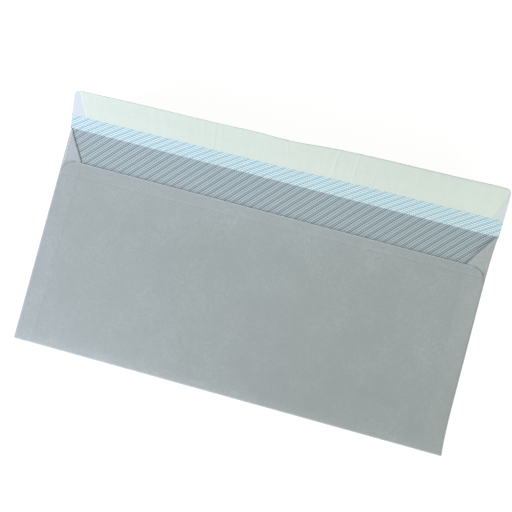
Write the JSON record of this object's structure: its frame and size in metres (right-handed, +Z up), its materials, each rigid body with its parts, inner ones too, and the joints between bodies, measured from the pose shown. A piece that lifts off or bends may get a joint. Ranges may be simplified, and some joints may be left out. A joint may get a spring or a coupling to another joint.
{
  "type": "self-seal envelope",
  "caption": "Long peel-and-seal envelope lying seam side up, flap raised, release strip on the flap.",
  "frame": {"origin": "centre of the address side, on the surface that the envelope lies on", "axes": "+X along the envelope's length, +Y towards the seal flap, +Z up, out of the seam side"},
  "size_m": [0.22, 0.1313, 0.0271],
  "materials": {
    "outside_paper": "matte",
    "inside_paper": "matte",
    "release_paper": "satin",
    "dried_glue": "satin",
    "tacky_glue": "gloss"
  },
  "bodies": {
    "pocket": {"front_panel": "outside_paper", "left_fold": "outside_paper", "right_fold": "outside_paper", "left_side_flap": "outside_paper", "right_side_flap": "outside_paper", "left_seam_glue": "dried_glue", "right_seam_glue": "dried_glue", "bottom_fold": "outside_paper", "back_panel": "outside_paper"},
    "flap": {"seal_flap": "inside_paper", "adhesive_band": "tacky_glue"},
    "strip": {"release_strip": "release_paper"}
  },
  "joints": [
    {"name": "flap_fold", "type": "hinge", "parent": "pocket", "child": "flap", "pos_m": [0, 0.055, 0.0004], "axis": [1, 0, 0], "range_deg": [-52, 128]},
    {"name": "strip_pull", "type": "slide", "parent": "flap", "child": "strip", "axis": [1, 0, 0], "range_m": [0, 0.213]}
  ]
}
